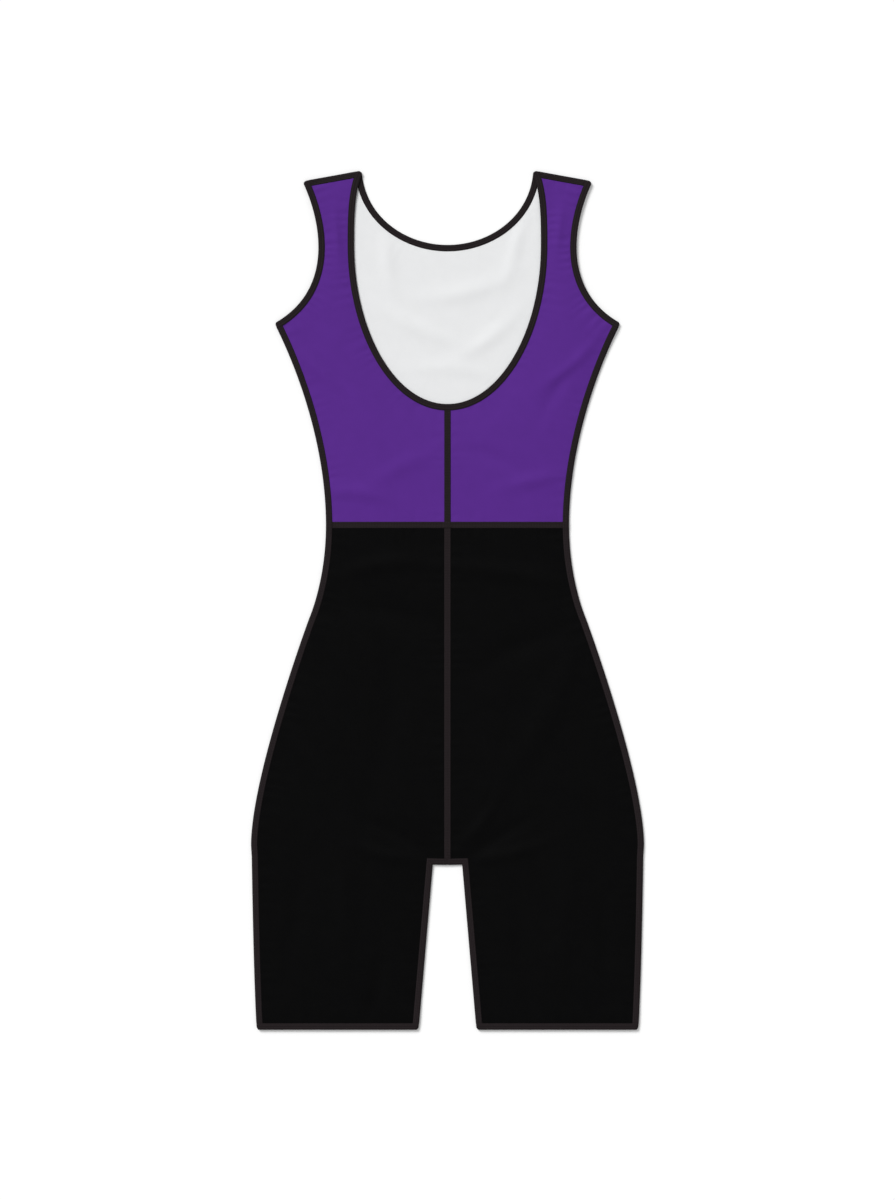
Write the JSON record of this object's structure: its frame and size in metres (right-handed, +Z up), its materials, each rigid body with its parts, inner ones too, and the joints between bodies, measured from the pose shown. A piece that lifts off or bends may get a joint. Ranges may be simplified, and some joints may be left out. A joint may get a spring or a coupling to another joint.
{
  "type": "unitard",
  "caption": "Sleeveless unitard with short legs, deep back neckline and bound edges, laid flat on its front with its back uppermost.",
  "frame": {"origin": "on the surface the garment lies on, at the middle of its length and its width", "axes": "+Z up from the surface, +Y from the leg hems to the neck, +X to the wearer's right; the back is uppermost"},
  "size_m": [0.3932, 0.8601, 0.0045],
  "materials": {
    "purple_knit": "matte",
    "grey_inside": "matte",
    "black_knit": "matte",
    "charcoal_binding": "matte"
  },
  "bodies": {
    "root": {"front_bodice": "purple_knit", "back_bodice_left": "purple_knit", "back_bodice_right": "purple_knit", "front_leg_left": "black_knit", "front_leg_right": "black_knit", "back_leg_left": "black_knit", "back_leg_right": "black_knit", "neck_binding": "charcoal_binding", "armhole_binding_left": "charcoal_binding", "armhole_binding_right": "charcoal_binding", "leg_binding_left": "charcoal_binding", "leg_binding_right": "charcoal_binding"}
  },
  "joints": []
}
